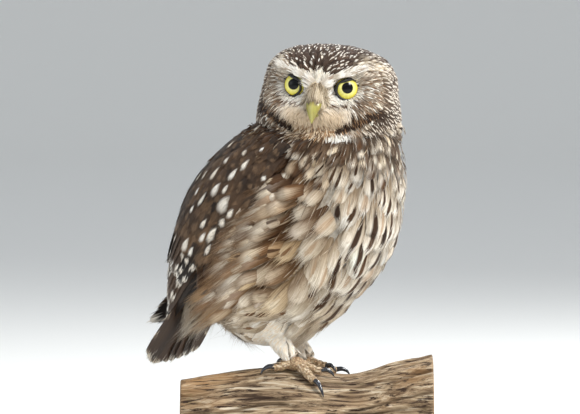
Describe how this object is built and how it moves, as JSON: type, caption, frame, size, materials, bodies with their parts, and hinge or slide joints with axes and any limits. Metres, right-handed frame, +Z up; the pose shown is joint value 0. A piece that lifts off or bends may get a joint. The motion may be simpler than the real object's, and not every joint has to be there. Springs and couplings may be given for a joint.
{
  "type": "little owl",
  "caption": "Little owl standing alert on a short cut length of weathered limb, wings folded and tail hanging behind, held up by a plain display stand.",
  "frame": {"origin": "middle of the underside of the stand's base", "axes": "+Z up; +Y away from the viewer of the source picture and +X to that viewer's right; the body faces +X with its right side towards -Y, and the face is turned towards -Y"},
  "size_m": [0.181, 0.1328, 0.3107],
  "materials": {
    "plumage": "soft mottled brown and white body feathers",
    "wing": "dark brown flight feathers and coverts with white spots",
    "leg": "short creamy feathering",
    "toe": "thin bristly feathering over skin",
    "claw": "black horn",
    "eye": "wet yellow eye with a black pupil",
    "bill": "olive yellow horn",
    "wood": "weathered, bark gone, long cracks",
    "base": "dark satin wood",
    "rod": "brushed"
  },
  "bodies": {
    "root": {"head": "plumage", "neck": "plumage", "torso": "plumage", "wing_left": "wing", "wing_right": "wing", "tail": "wing", "leg_left": "leg", "leg_right": "leg", "foot_left": "toe", "foot_right": "toe", "claw_left_inner": "claw", "claw_left_middle": "claw", "claw_left_outer": "claw", "claw_left_hind": "claw", "claw_right_inner": "claw", "claw_right_middle": "claw", "claw_right_outer": "claw", "claw_right_hind": "claw", "eye_left": "eye", "eye_right": "eye", "bill_upper": "bill", "bill_lower": "bill", "perch": "wood", "stand_base": "base", "stand_rod_1": "rod", "stand_rod_2": "rod"}
  },
  "joints": []
}
